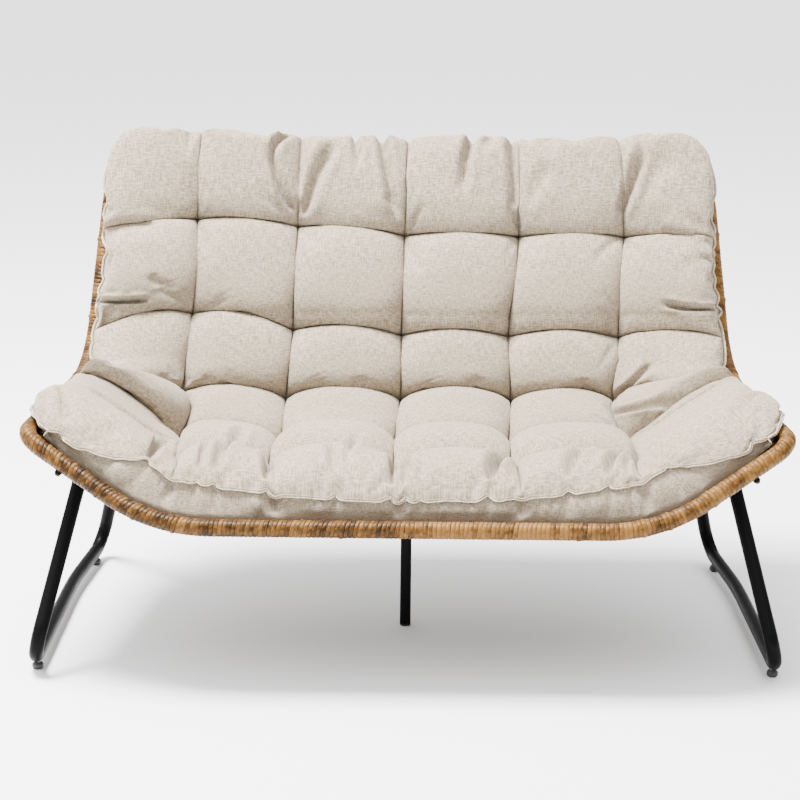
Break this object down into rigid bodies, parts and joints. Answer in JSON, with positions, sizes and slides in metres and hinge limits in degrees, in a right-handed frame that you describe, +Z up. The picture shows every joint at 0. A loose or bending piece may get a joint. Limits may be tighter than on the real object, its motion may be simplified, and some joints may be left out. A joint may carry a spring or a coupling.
{
  "type": "double papasan chair",
  "caption": "Wide two-seat papasan patio chair: rattan-wrapped steel rim, woven bucket shell, bent tube legs with screw-in glides and a loose tufted cushion.",
  "frame": {"origin": "on the floor, below the middle of the part's bounding box", "axes": "+X is to the right as seen from the front of the chair, +Y is towards its back and +Z is up"},
  "size_m": [1.3328, 0.815, 0.871],
  "materials": {
    "cushion_fabric": "oatmeal linen-look outdoor fabric, tufted and seamed",
    "woven_rattan": "flat polyethylene rattan strips, woven",
    "wrap_rattan": "flat polyethylene rattan strips wound round the rim, mixed tan and brown",
    "bare_steel_tube": "steel tube hidden inside the wrap",
    "powder_coat": "black satin powder coat",
    "fastener_steel": "black finished steel fasteners",
    "zinc_steel": "zinc plated steel",
    "glide_plastic": "black moulded plastic"
  },
  "bodies": {
    "frame": {"back_hoop": "powder_coat", "centre_bearer": "powder_coat", "centre_foot_plug": "glide_plastic", "centre_leg": "powder_coat", "front_hoop": "powder_coat", "glide_inserts": "zinc_steel", "leg_bolts": "fastener_steel", "leg_left": "powder_coat", "leg_nuts": "fastener_steel", "leg_plates": "powder_coat", "leg_right": "powder_coat", "leg_washers": "fastener_steel", "mounting_plates": "powder_coat", "rear_hoop": "powder_coat", "rim_front_tube": "bare_steel_tube", "rim_front_wrap": "wrap_rattan", "rim_left_tube": "bare_steel_tube", "rim_left_wrap": "wrap_rattan", "rim_right_tube": "bare_steel_tube", "rim_right_wrap": "wrap_rattan", "rim_straps": "powder_coat", "rim_top_tube": "bare_steel_tube", "rim_top_wrap": "wrap_rattan", "seat_ribs": "powder_coat", "strap_screws": "fastener_steel", "woven_shell": "woven_rattan"},
    "cushion": {"cushion": "cushion_fabric"},
    "glide_front_left": {"glide_pad_front_left": "glide_plastic", "glide_stem_front_left": "zinc_steel"},
    "glide_front_right": {"glide_pad_front_right": "glide_plastic", "glide_stem_front_right": "zinc_steel"},
    "glide_rear_left": {"glide_pad_rear_left": "glide_plastic", "glide_stem_rear_left": "zinc_steel"},
    "glide_rear_right": {"glide_pad_rear_right": "glide_plastic", "glide_stem_rear_right": "zinc_steel"}
  },
  "joints": [
    {"name": "cushion_lift", "type": "slide", "parent": "frame", "child": "cushion", "axis": [0, -0.72, 0.694], "range_m": [0, 0.9]},
    {"name": "glide_front_left_height", "type": "slide", "parent": "frame", "child": "glide_front_left", "axis": [0, 0, -1], "range_m": [-0.0015, 0.008]},
    {"name": "glide_front_right_height", "type": "slide", "parent": "frame", "child": "glide_front_right", "axis": [0, 0, -1], "range_m": [-0.0015, 0.008]},
    {"name": "glide_rear_left_height", "type": "slide", "parent": "frame", "child": "glide_rear_left", "axis": [0, 0, -1], "range_m": [-0.0015, 0.008]},
    {"name": "glide_rear_right_height", "type": "slide", "parent": "frame", "child": "glide_rear_right", "axis": [0, 0, -1], "range_m": [-0.0015, 0.008]}
  ]
}
